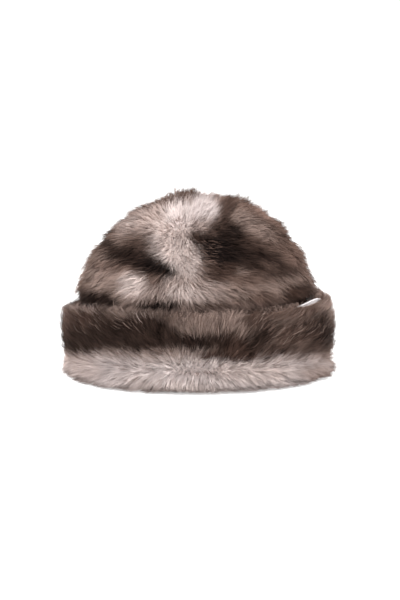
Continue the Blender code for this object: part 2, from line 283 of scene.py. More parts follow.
CROWN_FRONT = table(
    Patch,
    ("mid", 140, 250, 110, 80), ("brown", 268, 250, 66, 62),
    ("sand", 172, 291, 42, 13, 0, 0.7), ("sand", 208, 291, 30, 10, 0, 0.8),
    ("mid", 250, 290, 30, 9), ("brown", 264, 297, 12, 8),
    ("mid", 280, 282, 26, 10, -4, 0.7), ("sand", 136, 222, 26, 11, -26, 0.8),
    ("pale", 134, 218, 14, 4, -30, 0.5), ("pale", 170, 240, 22, 34, 8),
    ("pale", 188, 258, 14, 22, -8), ("sand", 160, 208, 26, 10, -14, 0.8),
    ("cream", 181, 212, 17, 14, 0, 0.7), ("silver", 206, 205, 15, 17, 15),
    ("sand", 200, 226, 15, 6, -33, 0.8), ("umber", 168, 196, 42, 4, -17, 0.7),
    ("brown", 103, 240, 15, 8, -48, 0.9), ("brown", 84, 274, 8, 18, 14, 0.9),
    ("umber", 82, 284, 6, 16, 8, 0.6), ("umber", 136, 247, 18, 13, 10, 0.9, 1.1),
    ("dusk", 124, 257, 22, 10, 14, 1.0, 1.0), ("dusk", 111, 247, 11, 6, 35),
    ("dark", 143, 261.5, 25, 9.5, 18, 1.0, 0.9), ("dark", 128, 258, 17, 7, 16, 0.9),
    ("dark", 151, 270, 11, 8, 20), ("deep", 157, 268.5, 18, 8.5, 14),
    ("mid", 95, 275, 17, 11), ("brown", 108, 266, 20, 5, 8, 0.7),
    ("brown", 152, 281, 9, 7, 0, 0.8), ("pale", 131, 285, 13, 12, 0, 0.95),
    ("dark", 94, 298.6, 21, 8, 4), ("deep", 111, 303.5, 6, 3.5),
    ("brown", 243, 204, 30, 12, 20), ("umber", 230, 216, 9, 16, -10, 0.7, 1.1),
    ("sand", 188, 230, 10, 6, -20, 0.6), ("umber", 196, 236, 9, 6, 20),
    ("brown", 127, 269, 10, 4, 10, 0.6), ("umber", 142, 275, 9, 4, 15, 0.6),
    ("dark", 232, 238, 16, 15), ("umber", 222, 268, 16, 14),
    ("umber", 264, 265, 30, 9, 16, 0.9), ("dusk", 250, 256, 42, 12, 20),
    ("dark", 262, 257, 24, 8, 16, 0.8), ("deep", 221, 253, 22, 13, 22),
    ("dark", 211, 241, 13, 7, 20), ("umber", 219, 224, 7, 11, 30, 0.7),
    ("deep", 219, 247, 12, 9, 10), ("mid", 243, 272, 7, 5, 0, 0.8),
    ("umber", 229, 270, 9, 7, 0, 0.9), ("umber", 252, 242, 12, 7, 20, 0.6),
    ("brown", 270, 266, 11, 4, 10, 0.6), ("mid", 254, 224, 28, 8, 34),
    ("umber", 230, 204, 7, 14, 15, 0.9), ("umber", 286, 222, 30, 5, 52, 0.6),
    ("brown", 293, 250, 22, 12, 58, 0.9), ("brown", 250, 279, 26, 5, 4, 0.8),
    ("brown", 246, 285, 14, 5, 0, 0.6), ("umber", 301, 293, 17, 9, -8),
    ("dusk", 307, 291, 8, 7, -12, 0.5), ("pale", 184, 293, 16, 7, 0, 0.8),
    # The thin lines at y 305.8 and 306.8 are partly the crown's own dark pile and partly painted shadow where
    # it meets the cuff's rim
    ("umber", 153, 301, 6, 4, 0, 0.7), ("deep", 156, 305.8, 27, 3.4),
    ("umber", 212, 306.8, 18, 2.4, 0, 0.8),
)
CROWN_BACK = table(
    Patch,
    ("brown", 200, 250, 150, 90), ("pale", 205, 212, 26, 16, 0, 0.8),
    ("dark", 150, 246, 44, 14, -20), ("mid", 120, 275, 34, 12, -8),
    ("sand", 206, 262, 20, 34, -8, 0.9), ("dark", 258, 262, 42, 13, 16),
    ("mid", 262, 232, 30, 7, 25, 0.9), ("sand", 232, 291, 36, 9, 0, 0.8),
    ("umber", 160, 296, 30, 7, 0, 0.9),
)
CUFF_FRONT = table(
    Patch,
    ("mid", 200, 330, 220, 70), ("silver", 110, 376, 74, 20),
    ("pale", 196, 382, 64, 25), ("silver", 282, 379, 70, 21),
    ("cream", 190, 373, 56, 12, 0, 0.8), ("pale", 258, 373, 44, 11, 0, 0.9),
    ("umber", 84, 326, 34, 20), ("dusk", 84, 340, 34, 13, -1, 1.0, 0.7),
    ("brown", 79, 305, 20, 4.5, 4, 0.8), ("dusk", 100, 315, 7, 9, -25, 0.8),
    ("brown", 64, 324, 4, 14, 0, 0.5), ("dusk", 141, 328, 36, 16, 2, 1.0, 0.7),
    ("dusk", 108, 328, 13, 9, 20), ("dusk", 138, 344, 34, 7, 1),
    ("dark", 126, 325, 13, 6, 0, 0.8), ("dark", 114, 339, 8, 7, 0, 0.7),
    ("umber", 152, 339, 9, 6, 0, 0.6), ("dusk", 166, 338, 20, 9, 3),
    ("dark", 196, 342, 26, 8.5, 4), ("umber", 232, 345, 22, 12, 10),
    ("dusk", 218, 341, 14, 8, 10, 0.8), ("dusk", 263, 338, 11, 23, 40),
    ("umber", 240, 355, 20, 7), ("umber", 214, 356, 14, 4),
    ("umber", 276, 350, 14, 6, -10, 0.8), ("brown", 290, 338, 14, 8, -20),
    ("umber", 298, 330, 22, 12, -20, 0.9), ("dusk", 322, 331, 14, 18),
    ("umber", 308, 338, 16, 10, 0, 0.7), ("dusk", 306, 328, 13, 8, 0, 0.6),
    ("umber", 304, 350, 30, 5, -3, 0.7), ("brown", 292, 312, 30, 6, -6),
    ("mid", 207, 321, 33, 12), ("umber", 253, 320, 10, 13, 20, 0.9),
    ("umber", 266, 315, 8, 7, 25, 0.8), ("mid", 227, 323, 12, 9, 0, 0.7),
    ("umber", 172, 316, 9, 8, 0, 0.5), ("mid", 322, 297, 9, 9, 30, 0.9),
    ("sand", 318, 374, 18, 9), ("brown", 324, 378, 14, 3.5, -18, 0.7),
    ("sand", 80, 370, 20, 14, 10, 0.6),
)
CUFF_BACK = table(
    Patch,
    ("mid", 200, 330, 220, 70), ("silver", 130, 377, 80, 24),
    ("silver", 200, 382, 62, 26), ("silver", 270, 377, 74, 24),
    ("dusk", 82, 334, 26, 16), ("umber", 118, 338, 20, 12),
    ("dark", 150, 338, 30, 10), ("dark", 214, 342, 34, 9),
    ("umber", 262, 336, 30, 13), ("dark", 310, 334, 24, 18, 0, 0.9),
    ("umber", 328, 324, 18, 18, 0, 0.9), ("sand", 180, 314, 60, 6, 0, 0.6),
    ("sand", 77, 300, 14, 8, 0, 0.9),
)

# Single hairs of another tone among the pile: the strength is the share of the hairs
CROWN_STRANDS = table(
    Patch,
    ("umber", 178, 250, 26, 36, 0, 0.12), ("brown", 200, 262, 20, 26, 0, 0.20),
    ("umber", 168, 197, 46, 7, -17, 0.45), ("umber", 170, 290, 44, 12, 0, 0.12),
    ("brown", 130, 226, 24, 14, -20, 0.20),
)
CUFF_STRANDS = table(
    Patch,
    ("sand", 79, 305, 17, 6, 6, 0.55), ("mid", 104, 318, 34, 12, 0, 0.10),
    ("sand", 136, 312, 20, 6, 0, 0.14), ("umber", 205, 320, 44, 12, 0, 0.14),
    ("mid", 294, 324, 32, 16, 0, 0.14), ("brown", 290, 328, 32, 18, 0, 0.22),
    ("brown", 195, 360, 130, 8, 0, 0.09), ("brown", 195, 378, 130, 14, 0, 0.02),
)

# The way that the pile is combed: clockwise from straight right in the picture, in degrees
Stroke = namedtuple("Stroke", "x y turn")
CROWN_STROKES = table(
    Stroke,
    (150, 203, -112), (182, 198, -90), (212, 200, -62), (150, 230, 155), (120, 232, 150),
    (118, 256, 152), (150, 258, 146), (165, 245, 112), (163, 270, 104), (96, 276, 142),
    (130, 276, 148), (100, 298, 120), (140, 292, 112), (178, 240, 72), (180, 265, 56),
    (202, 242, 30), (200, 268, 24), (168, 290, 78), (202, 290, 44), (228, 252, 26),
    (244, 210, 30), (262, 250, 32), (270, 226, 36), (290, 248, 48), (302, 268, 52),
    (268, 278, 30), (240, 296, 50), (296, 296, 60),
)
CUFF_STROKES = table(
    Stroke,
    (74, 320, -140), (84, 345, -145), (102, 330, -132), (140, 330, -115), (172, 328, -98),
    (205, 326, -88), (240, 328, -70), (272, 328, -56), (300, 330, -48), (322, 332, -36),
    (80, 364, -158), (108, 364, -148), (146, 364, -125), (200, 364, -90), (250, 364, -52),
    (290, 362, -36), (320, 360, -26), (84, 384, 155), (120, 388, 130), (160, 390, 110),
    (200, 392, 90), (245, 390, 66), (290, 387, 45), (320, 380, 28),
)
STROKE_REACH = 19.0
WHORL = (-0.014, -0.050, 0.140)
WHORL_REACH = 0.035
CUFF_FAN = 0.8
COMB_LOW = -0.8
COMB_PARTING = 0.012
COMB_UNDER = 0.5
COMB_FOLD_FROM = 0.25
COMB_FOLD_SOFT = 0.4
STROKE_STRENGTH = 1.6
COMBED_SOFT = 0.4
COMBED_ABOVE = -0.75
COMBED_ABOVE_SOFT = 0.35
LEAST_LEAN = 0.22

# How the patches meet, and how the front's give way to the back's
PATCH_SWAY = 0.9
RAGGED = 1.3
SIDE_MOTTLE = 0.35
FRONT_FROM = -0.12
FRONT_SOFT = 0.35
ASIDE_UNDER = 0.10
# Brown tips along the cuff's lower edge: partly dark tips, partly painted shade where it meets the floor
EDGE_TIPS_AND_SHADE_UNDER = 0.0042
EDGE_TIPS_AND_SHADE_OUT = 0.022
EDGE_TIPS_AND_SHADE_SOFT = 0.006
GAP_SHADE = 0.34
GAP_SHADE_FROM = -0.002
GAP_SHADE_RISE = 0.009

# The rim's pile by azimuth: its rise, how far it is tucked in, and how much is rolled and is full
RimFur = namedtuple("RimFur", "azimuth rise tuck rolled full")
RIM_FUR = table(
    RimFur,
    (0, 0.0073, 0.004, 0.80, 0.88), (25, 0.0068, 0.004, 0.80, 0.84),
    (38, 0.0052, 0.003, 0.75, 0.80), (46, 0.0034, 0.002, 0.70, 0.78),
    (53, 0.0012, 0.001, 0.10, 0.72), (62, 0.0004, 0.000, 0.00, 0.60),
    (70, 0.0000, 0.000, 0.00, 0.42), (77, 0.0018, 0.003, 0.80, 0.32),
    (83, 0.0016, 0.004, 0.95, 0.22), (92, 0.0008, 0.004, 0.95, 0.14),
    (105, 0.0006, 0.004, 0.95, 0.12), (130, 0.0025, 0.005, 0.90, 0.40),
    (180, 0.0030, 0.005, 0.80, 0.80), (225, 0.0014, 0.005, 0.80, 0.85),
    (270, 0.0000, 0.004, 0.80, 0.80), (290, 0.0045, 0.004, 0.75, 0.85),
    (308, 0.0105, 0.003, 0.70, 0.90), (330, 0.0108, 0.003, 0.70, 0.90),
    (345, 0.0088, 0.003, 0.80, 0.90), (360, 0.0073, 0.004, 0.80, 0.88),
)
# Hairs rolled over the rim: how far inside its outer face and how far above it they are along their length
ROLL_STEPS = (0.3, 0.55, 0.8, 1.0)
ROLL_INSIDE = (-0.002, 0.001, 0.0055, 0.0085)
ROLL_RISE = (-0.002, 0.0028, 0.0018, -0.006)


def linear(tone):
    """A tone of the picture as the linear colour that Blender uses."""
    share = np.array(tone) / 255
    return np.where(share <= 0.04045, share / 12.92, ((share + 0.055) / 1.055) ** 2.4)


def unit(vectors):
    """Vectors made one unit long."""
    return vectors / np.maximum(np.linalg.norm(vectors, axis=-1, keepdims=True), 1e-9)


def dot(one, other):
    """The dot products of vectors, row by row."""
    return (one * other).sum(axis=-1)


def eased(share):
    """A share held between 0 and 1, with soft ends."""
    held = np.clip(share, 0.0, 1.0)
    return held * held * (3 - 2 * held)


def drift(seed, size):
    """A smooth random field with features of this size, mostly between -1 and 1."""
    chance = np.random.default_rng(seed)
    ways = unit(chance.normal(size=(DRIFT_WAVES, 3)))
    ways = ways * chance.uniform(*DRIFT_SPREAD, (DRIFT_WAVES, 1)) * (2 * math.pi / size)
    starts = chance.uniform(0, 2 * math.pi, DRIFT_WAVES)

    def at(points):
        return np.sin(points @ ways.T + starts).sum(axis=1) / math.sqrt(DRIFT_WAVES)

    return at


# The photograph's own axes
FORWARD = unit(np.array(CAMERA_AIM) - np.array(CAMERA_AT))
ACROSS = unit(np.cross(FORWARD, (0.0, 0.0, 1.0)))
UPWARDS = np.cross(ACROSS, FORWARD)
FOCAL = LENS / SENSOR * PHOTO_HEIGHT
TURNED = np.array((-1.0, -1.0, 1.0))


def in_photo(points):
    """The pixels where points show in the photograph."""
    away = points - np.array(CAMERA_AT)
    depth = away @ FORWARD
    return np.stack((
        PHOTO_WIDTH / 2 + FOCAL * (away @ ACROSS) / depth,
        PHOTO_HEIGHT / 2 - FOCAL * (away @ UPWARDS) / depth,
    ), axis=1)


def facing(points, normals):
    """How far points face the camera: 1 straight at it, and below 0 away from it."""
    return dot(normals, unit(np.array(CAMERA_AT) - points))


def inside(pixels, patch):
    """How far pixels are inside a patch, with its soft edge, times its strength."""
    away = pixels - (patch.x, patch.y)
    turn = math.radians(patch.turn)
    along = (away[:, 0] * math.cos(turn) + away[:, 1] * math.sin(turn)) / patch.wide
    upright = (away[:, 1] * math.cos(turn) - away[:, 0] * math.sin(turn)) / patch.tall
    return patch.strength * eased((1 + patch.soft / 2 - np.hypot(along, upright)) / patch.soft)


def patched(pixels, patches):
    """The tone at pixels, from a table of patches laid over each other."""
    colour = np.tile(linear(TONES[patches[0].tone]), (len(pixels), 1))
    for patch in patches[1:]:
        share = inside(pixels, patch)[:, None]
        colour = colour * (1 - share) + linear(TONES[patch.tone]) * share
    return colour


wobble_across = drift(11, 0.016)
wobble_down = drift(12, 0.016)
side_blotch = drift(13, 0.045)
wall_tufts = drift(14, 0.007)


def tone_at(points, normals, front, back, ragged):
    """The tone of the pile at points, with ragged edges between its patches."""
    sway = np.stack((wobble_across(points), wobble_down(points)), axis=1) * PATCH_SWAY
    seen = patched(in_photo(points) + sway + ragged, front)
    behind = patched(in_photo(points * TURNED) + sway + ragged, back)
    face = facing(points, normals)
    share = eased((face - FRONT_FROM) / FRONT_SOFT)[:, None]
    tone = behind * (1 - share) + seen * share
    aside = (1 - eased((np.abs(face) - ASIDE_UNDER) / FRONT_SOFT)) * SIDE_MOTTLE
    return tone * np.exp(side_blotch(points) * aside)[:, None]


def combed(points, normals, base, strokes):
    """The way that the pile lies at points: a base direction with the strokes laid over it.

    It is shorter where they disagree, because the pile stands up at a parting.
    """
    pixels = in_photo(points)
    pull = np.zeros(len(points))
    way = np.zeros((len(points), 3))
    for stroke in strokes:
        near = np.exp(-(((pixels - (stroke.x, stroke.y)) / STROKE_REACH) ** 2).sum(axis=1))
        turn = math.radians(stroke.turn)
        pull += near
        way += near[:, None] * (ACROSS * math.cos(turn) - UPWARDS * math.sin(turn))
    way /= np.maximum(pull, TINY)[:, None]
    firm = np.linalg.norm(way, axis=1)
    way = unit(way - normals * dot(way, normals)[:, None]) * firm[:, None]
    share = eased(facing(points, normals) / COMBED_SOFT) * np.minimum(pull * STROKE_STRENGTH, 1.0)
    share = share * eased((normals[:, 2] - COMBED_ABOVE) / COMBED_ABOVE_SOFT)
    way = base * (1 - share[:, None]) + way * share[:, None]
    return way - normals * dot(way, normals)[:, None]


def turned_about(ways, normals, angles):
    """Ways in the surface, turned about its normals."""
    return ways * np.cos(angles)[:, None] + np.cross(normals, ways) * np.sin(angles)[:, None]


def linked(name, data):
    """An object of this data, in the scene."""
    made = bpy.data.objects.new(name, data)
    bpy.context.collection.objects.link(made)
    return made


def vertices_of(mesh):
    """The places and the normals of a mesh's vertices."""
    places = np.empty((len(mesh.vertices), 3))
    normals = np.empty((len(mesh.vertices), 3))
    mesh.vertices.foreach_get("co", places.ravel())
    mesh.vertex_normals.foreach_get("vector", normals.ravel())
    return places, normals


def give_tones(mesh, shades):
    """Gives each vertex of a mesh its tone."""
    tones = mesh.color_attributes.new("tone", "FLOAT_COLOR", "POINT")
    colours = np.ones((len(mesh.vertices), 4), np.float32)
    colours[:, :3] = shades
    tones.data.foreach_set("color", colours.ravel())


def merged(nodes, reach):
    """A copy of these nodes' meshes as one, with its doubles merged and its triangles joined."""
    skin = bmesh.new()
    for node in nodes:
        skin.from_mesh(bpy.data.objects[node].data)
    bmesh.ops.remove_doubles(skin, verts=skin.verts, dist=reach)
    bmesh.ops.join_triangles(
        skin,
        faces=skin.faces,
        angle_face_threshold=math.radians(JOINED_TILT),
        angle_shape_threshold=math.radians(JOINED_SKEW),
    )
    skin.normal_update()
    return skin


def smoothed(skin, name):
    """Makes an object of a bmesh, smoothed by subdivision."""
    mesh = bpy.data.meshes.new(name)
    skin.to_mesh(mesh)
    skin.free()
    made = linked(name, mesh)
    rounding = made.modifiers.new("rounding", "SUBSURF")
    rounding.levels = SMOOTH_LEVELS
    rounding.render_levels = SMOOTH_LEVELS
    rounding.boundary_smooth = "PRESERVE_CORNERS"
    made.data = bpy.data.meshes.new_from_object(made.evaluated_get(bpy.context.evaluated_depsgraph_get()))
    made.modifiers.clear()
    bpy.data.meshes.remove(mesh)
    made.data.name = name
    made.data.shade_smooth()
    return made


def growing_skin(nodes, is_outside, name):
    """The outer side of hide nodes as one smooth surface, which the pile grows on."""
    skin = merged(nodes, SEAM_REACH)
    inner = [face for face in skin.faces if not is_outside(face)]
    bmesh.ops.delete(skin, geom=inner, context="FACES")
    return smoothed(skin, name)


def outside_of_crown(face):
    """Whether a face of the crown's hide points away from the hollow of the hat."""
    away = face.calc_center_median() - Vector(CROWN_MIDDLE)
    return face.normal.dot(away.normalized()) > CROWN_OUTWARDS


def outside_of_cuff(face):
    """Whether a face of the cuff's hide points outwards, or down at the fold."""
    middle = face.calc_center_median()
    outwards = Vector((middle.x, middle.y, 0)).normalized()
    return face.normal.dot(outwards) > CUFF_OUTWARDS or face.normal.z < -CUFF_OUTWARDS


class Ground:
    """A growing skin as arrays."""

    def __init__(self, made):
        mesh = made.data
        mesh.calc_loop_triangles()
        self.places, self.normals = vertices_of(mesh)
        self.triangles = np.empty((len(mesh.loop_triangles), 3), np.int32)
        mesh.loop_triangles.foreach_get("vertices", self.triangles.ravel())

    def doubled_areas(self):
        """Twice the area of each triangle."""
        corners = self.places[self.triangles]
        return np.linalg.norm(np.cross(corners[:, 1] - corners[:, 0], corners[:, 2] - corners[:, 0]), axis=1)

    def area(self):
        """The area of the whole skin."""
        return self.doubled_areas().sum() / 2

    def sown(self, count, density, chance):
        """Roots spread evenly over the skin but for density, and the skin's normals there."""
        middles = self.places[self.triangles].mean(axis=1)
        ways_out = unit(self.normals[self.triangles].mean(axis=1))
        filled = np.cumsum(self.doubled_areas() * density(middles, ways_out))
        places = (np.arange(count) + chance.uniform(0, 1, count)) / count * filled[-1]
        picked = np.minimum(np.searchsorted(filled, places), len(filled) - 1)
        far = np.sqrt(chance.uniform(0, 1, count))
        turn = chance.uniform(0, 1, count)
        shares = np.stack((1 - far, far * (1 - turn), far * turn), axis=1)[:, :, None]
        triangle = self.triangles[picked]
        roots = (self.places[triangle] * shares).sum(axis=1)
        return roots, unit((self.normals[triangle] * shares).sum(axis=1))


crown_skin = growing_skin([f"crown_hide_{name}" for name in QUARTERS], outside_of_crown, "crown_skin")
cuff_skin = growing_skin([f"cuff_hide_{name}" for name in HALVES], outside_of_cuff, "cuff_skin")
crown_ground = Ground(crown_skin)
cuff_ground = Ground(cuff_skin)


def azimuth_of(points):
    """The azimuths of points, from 0 to 360."""
    return np.degrees(np.arctan2(points[:, 0], -points[:, 1])) % 360


def rim_table():
    """The height of the cuff's rim at each whole degree."""
    turn = azimuth_of(cuff_ground.places)
    heights = []
    for degree in range(361):
        near = np.abs((turn - degree + 180) % 360 - 180) < RIM_WINDOW
        heights.append(cuff_ground.places[near, 2].max())
    padded = np.pad(np.array(heights), RIM_BLUR // 2, mode="wrap")
    return np.convolve(padded, np.full(RIM_BLUR, 1 / RIM_BLUR), mode="valid")


RIM_HEIGHTS = rim_table()


def rim_at(points):
    """The height of the cuff's rim at the azimuths of points."""
    return np.interp(azimuth_of(points), np.arange(361), RIM_HEIGHTS)


def rim_fur_at(points, column):
    """A column of RIM_FUR at the azimuths of points."""
    turns = [row.azimuth for row in RIM_FUR]
    values = [getattr(row, column) for row in RIM_FUR]
    return np.interp(azimuth_of(points), turns, values)


def out_of_head(points):
    """How far points are outside the head, level."""
    angle = np.radians(azimuth_of(points))
    across = HEAD_WIDTH / 2 * np.sin(angle)
    back = HEAD_DEPTH / 2 * np.cos(angle)
    return np.hypot(points[:, 0], points[:, 1]) - np.hypot(across, back)


def crown_pile_at(points):
    """The length of the crown's pile: it fills the gap behind the cuff, but less at its right."""
    over = points[:, 2] - rim_at(points)
    aside = np.abs((azimuth_of(points) - OPEN_GAP_AZIMUTH + 180) % 360 - 180)
    gap = eased((OPEN_GAP_WIDTH - aside) / OPEN_GAP_SOFT)
    pressed = PRESSED_PILE + (PRESSED_PILE_AT_GAP - PRESSED_PILE) * gap
    rise = PILE_RISE + (PILE_RISE_AT_GAP - PILE_RISE) * gap
    right = 0.5 + 0.5 * np.sin(np.radians(azimuth_of(points)))
    free = np.interp(points[:, 2], CROWN_PILE_AT, CROWN_PILE_LEFT) * (1 - right)
    free = free + np.interp(points[:, 2], CROWN_PILE_AT, CROWN_PILE_RIGHT) * right
    from_tuft = np.hypot(points[:, 0] - TOP_TUFT_AT[0], points[:, 1] - TOP_TUFT_AT[1])
    free = free + TOP_TUFT * np.exp(-((from_tuft / TOP_TUFT_WIDTH) ** 2))
    return pressed + (free - pressed) * eased(over / rise)


def cuff_pile_at(points, normals):
    """The length of the cuff's pile: out to a plumb wall, and flat on the floor under the fold."""
    free = np.maximum(CUFF_ENVELOPE - out_of_head(points), CUFF_SHORTEST)
    share = np.clip(points[:, 2] / rim_at(points), 0, 1)
    full = rim_fur_at(points, "full")
    free = free * np.interp(share, CUFF_PROFILE_AT, CUFF_PROFILE)
    thinned = np.clip((share - RIM_THIN_FROM) / (1 - RIM_THIN_FROM), 0, 1) ** RIM_THIN_POWER
    free = free * (1 - (1 - full) * thinned)
    under = eased((-normals[:, 2] - UNDER_FOLD_FROM) / UNDER_FOLD_SOFT)
    return free * (1 - under) + np.maximum(points[:, 2] - FLOOR_CLEAR, SHORTEST_UNDER) * under


def nearest(points, centres):
    """For each point, the place in the list of the nearest centre."""
    tree = KDTree(len(centres))
    for place, centre in enumerate(centres):
        tree.insert(centre, place)
    tree.balance()
    return np.array([tree.find(point)[1] for point in points])


def drawn_to(paths, leaders, kind, chance):
    """Draws hairs towards the hairs that lead them, more towards their tips."""
    own = chance.uniform(*DOWN_PULL_SPREAD, len(paths))
    strength = (DOWN_PULL * own[:, None] * kind.steps[None] ** GRIP_POWER)[:, :, None]
    return paths * (1 - strength) + leaders * strength


def with_inputs(node, **values):
    """Gives inputs of a node these values, and returns the node."""
    for name, value in values.items():
        node.inputs[name.replace("_", " ")].default_value = value
    return node


def matt_material(name, roughness, specular):
    """A new material, its shader, and functions that add a node to it and link two nodes."""
    surface = bpy.data.materials.new(name)
    surface.use_nodes = True
    tree = surface.node_tree
    shader = with_inputs(tree.nodes["Principled BSDF"], Roughness=roughness, Specular_IOR_Level=specular)

    def node(kind, **values):
        return with_inputs(tree.nodes.new(kind), **values)

    def link(start, output, end, entry):
        tree.links.new(start.outputs[output], end.inputs[entry])

    return surface, shader, node, link


def toned(node):
    """A node that gives the tone kept in the mesh."""
    tone = node("ShaderNodeAttribute")
    tone.attribute_name = "tone"
    return tone


def grained(shader, node, link, noise_values, bump_values):
    """Gives a material a fine grain, and returns its noise."""
    noise = node("ShaderNodeTexNoise", **noise_values)
    bump = node("ShaderNodeBump", **bump_values)
    link(node("ShaderNodeTexCoord"), "Object", noise, "Vector")
    link(noise, "Fac", bump, "Height")
    link(bump, "Normal", shader, "Normal")
    return noise


def hair_material():
    """The hairs, each with its own tones from root to tip."""
    surface, shader, node, link = matt_material("pile_hair", 0.6, 0.04)
    link(toned(node), "Color", shader, "Base Color")
    return surface


def wool_material():
    """The undercoat between the hairs: its tone with a fine woolly grain."""
    surface, shader, node, link = matt_material("pile_undercoat", 0.95, 0.04)
    grain = grained(shader, node, link, {"Scale": 520, "Detail": 4}, {"Strength": 0.8, "Distance": 0.0012})
    depth = node("ShaderNodeMapRange", From_Min=0.35, From_Max=0.65, To_Min=0.60, To_Max=1.15)
    shaded = node("ShaderNodeVectorMath")
    shaded.operation = "SCALE"
    link(grain, "Fac", depth, "Value")
    link(toned(node), "Color", shaded, "Vector")
    link(depth, "Result", shaded, "Scale")
    link(shaded, "Vector", shader, "Base Color")
    return surface


def suede_material():
    """The napped inner side of the shearling."""
    surface, shader, node, link = matt_material("suede", 0.92, 0.2)
    grained(shader, node, link, {"Scale": 900, "Detail": 3}, {"Strength": 0.5, "Distance": 0.0005})
    blotch = node("ShaderNodeTexNoise", Scale=26, Detail=4)
    tint = node("ShaderNodeValToRGB")
    low, high = tint.color_ramp.elements
    low.position = 0.3
    low.color = (0.84, 0.80, 0.81, 1)
    high.position = 0.7
    high.color = (0.94, 0.91, 0.92, 1)
    link(node("ShaderNodeTexCoord"), "Object", blotch, "Vector")
    link(blotch, "Fac", tint, "Fac")
    link(tint, "Color", shader, "Base Color")
    return surface


hair_surface = hair_material()
wool_surface = wool_material()


def ribbons(kind, paths, lifted, chance):
    """The corners of ribbons along paths: a pair at each place but the last, and then the tip."""
    count, places = paths.shape[:2]
    tangents = unit(np.gradient(paths, axis=1))
    across = np.cross(tangents, lifted)
    roll = np.radians(chance.uniform(-MOST_ROLL, MOST_ROLL, count))[:, None, None]
    sides = across * np.cos(roll) - lifted * np.sin(roll)
    widths = kind.width * chance.uniform(*WIDTH_SPREAD, count)[:, None, None] * kind.taper[None, :, None] / 2
    corners = np.empty((count, 2 * places - 1, 3))
    corners[:, 0:-1:2] = (paths - sides * widths)[:, :-1]
    corners[:, 1:-1:2] = (paths + sides * widths)[:, :-1]
    corners[:, -1] = paths[:, -1]
    return corners


def hair_piece(name, kind, paths, normals, shades, bulge, chance):
    """Makes a piece of hairs: a narrow ribbon for each, whose faces point out of the skin."""
    count, places = paths.shape[:2]
    pairs = places - 1
    tangents = unit(np.gradient(paths, axis=1))
    lifted = normals[:, None] - tangents * dot(normals[:, None], tangents)[:, :, None]
    lifted = unit(lifted + TINY)
    corners = ribbons(kind, paths, lifted, chance)
    order = []
    for pair in range(pairs - 1):
        order += [2 * pair, 2 * pair + 1, 2 * pair + 3, 2 * pair + 2]
    order += [2 * pairs - 2, 2 * pairs - 1, 2 * pairs]
    step_of = np.arange(2 * pairs + 1) // 2
    loops = (np.arange(count) * corners.shape[1])[:, None] + np.array(order)[None]
    starts = (np.arange(count) * len(order))[:, None] + np.arange(pairs)[None] * 4
    mesh = bpy.data.meshes.new(name)
    mesh.vertices.add(corners.shape[0] * corners.shape[1])
    mesh.vertices.foreach_set("co", corners.astype(np.float32).ravel())
    mesh.loops.add(loops.size)
    mesh.loops.foreach_set("vertex_index", loops.astype(np.int32).ravel())
    mesh.polygons.add(starts.size)
    mesh.polygons.foreach_set("loop_start", starts.astype(np.int32).ravel())
    mesh.polygons.foreach_set("use_smooth", np.ones(starts.size, bool))
    mesh.update(calc_edges=True)
    give_tones(mesh, shades[:, step_of].reshape(-1, 3))
    # Each hair has its own cell of the UV map
    cells = math.ceil(math.sqrt(count))
    place = np.arange(count)
    sideways = np.append(np.tile((0.2, 0.8), pairs), 0.5)
    lengthways = 0.1 + 0.85 * step_of / pairs
    spots = np.stack((
        ((place % cells)[:, None] + sideways[None]) / cells,
        ((place // cells)[:, None] + lengthways[None]) / cells,
    ), axis=2)
    laid = mesh.uv_layers.new(name="OFBake", do_init=False)
    laid.uv.foreach_set("vector", spots[:, order].astype(np.float32).ravel())
    soft = normals[:, None] * SKIN_NORMAL + lifted * (1 - SKIN_NORMAL)
    soft = unit(soft + bulge[:, None] * kind.steps[None, :, None])
    mesh.normals_split_custom_set_from_vertices(soft[:, step_of].reshape(-1, 3).tolist())
    mesh.materials.append(hair_surface)
    return linked(name, mesh)


def back_thinning(normals):
    """How thickly the pile is sown, by how far it faces the front."""
    return BACK_SHARE + (1 - BACK_SHARE) * eased((normals @ -FORWARD - THIN_FROM) / THIN_SOFT)


